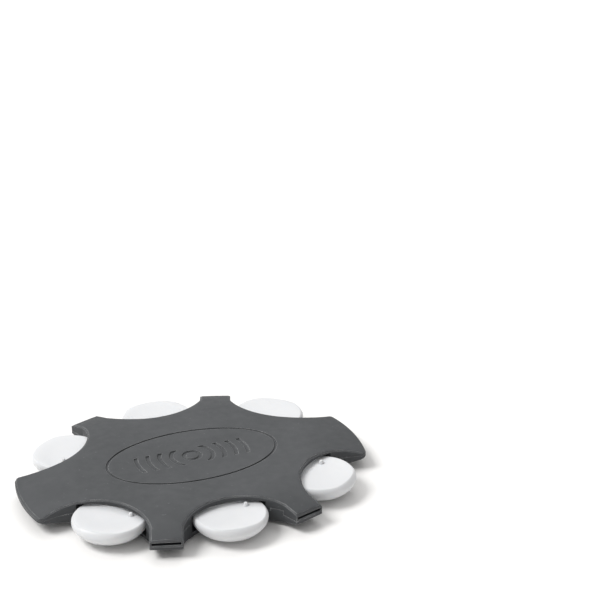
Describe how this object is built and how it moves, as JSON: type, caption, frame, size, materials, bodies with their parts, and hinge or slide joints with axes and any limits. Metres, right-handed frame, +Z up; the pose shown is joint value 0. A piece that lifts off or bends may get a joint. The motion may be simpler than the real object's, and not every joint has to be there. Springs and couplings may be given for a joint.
{
  "type": "hearing aid damper dispenser",
  "caption": "Flat dark disc with notched edges that holds white pull-out finger tools, each with a rounded grip end and a tiny acoustic damper on a pin.",
  "frame": {"origin": "centre of the bounding box at the level of the flat base", "axes": "+X along the long axis through the two broad arms, +Z up from the base, +Y along the short axis"},
  "size_m": [0.054, 0.0444, 0.0044],
  "materials": {
    "shell": "fine matte moulded texture",
    "tool": "satin, slightly translucent",
    "sleeve": "satin",
    "mesh": "fine woven mesh"
  },
  "bodies": {
    "dispenser": {"upper_shell": "shell", "lower_shell": "shell"},
    "finger_tool_1": {"tool_1": "tool"},
    "damper_1": {"damper_sleeve_1": "sleeve", "damper_mesh_1": "mesh"},
    "finger_tool_2": {"tool_2": "tool"},
    "damper_2": {"damper_sleeve_2": "sleeve", "damper_mesh_2": "mesh"},
    "finger_tool_3": {"tool_3": "tool"},
    "damper_3": {"damper_sleeve_3": "sleeve", "damper_mesh_3": "mesh"},
    "finger_tool_4": {"tool_4": "tool"},
    "damper_4": {"damper_sleeve_4": "sleeve", "damper_mesh_4": "mesh"},
    "finger_tool_5": {"tool_5": "tool"},
    "damper_5": {"damper_sleeve_5": "sleeve", "damper_mesh_5": "mesh"},
    "finger_tool_6": {"tool_6": "tool"},
    "damper_6": {"damper_sleeve_6": "sleeve", "damper_mesh_6": "mesh"}
  },
  "joints": [
    {"name": "tool_1_pull", "type": "slide", "parent": "dispenser", "child": "finger_tool_1", "axis": [0, -1, 0], "range_m": [0, 0.017]},
    {"name": "damper_1_release", "type": "slide", "parent": "finger_tool_1", "child": "damper_1", "axis": [0, 1, 0], "range_m": [0, 0.0013]},
    {"name": "tool_2_pull", "type": "slide", "parent": "dispenser", "child": "finger_tool_2", "axis": [0.6428, -0.766, 0], "range_m": [0, 0.017]},
    {"name": "damper_2_release", "type": "slide", "parent": "finger_tool_2", "child": "damper_2", "axis": [-0.6428, 0.766, 0], "range_m": [0, 0.0013]},
    {"name": "tool_3_pull", "type": "slide", "parent": "dispenser", "child": "finger_tool_3", "axis": [0.6428, 0.766, 0], "range_m": [0, 0.017]},
    {"name": "damper_3_release", "type": "slide", "parent": "finger_tool_3", "child": "damper_3", "axis": [-0.6428, -0.766, 0], "range_m": [0, 0.0013]},
    {"name": "tool_4_pull", "type": "slide", "parent": "dispenser", "child": "finger_tool_4", "axis": [0, 1, 0], "range_m": [0, 0.017]},
    {"name": "damper_4_release", "type": "slide", "parent": "finger_tool_4", "child": "damper_4", "axis": [0, -1, 0], "range_m": [0, 0.0013]},
    {"name": "tool_5_pull", "type": "slide", "parent": "dispenser", "child": "finger_tool_5", "axis": [-0.6428, 0.766, 0], "range_m": [0, 0.017]},
    {"name": "damper_5_release", "type": "slide", "parent": "finger_tool_5", "child": "damper_5", "axis": [0.6428, -0.766, 0], "range_m": [0, 0.0013]},
    {"name": "tool_6_pull", "type": "slide", "parent": "dispenser", "child": "finger_tool_6", "axis": [-0.6428, -0.766, 0], "range_m": [0, 0.017]},
    {"name": "damper_6_release", "type": "slide", "parent": "finger_tool_6", "child": "damper_6", "axis": [0.6428, 0.766, 0], "range_m": [0, 0.0013]}
  ]
}
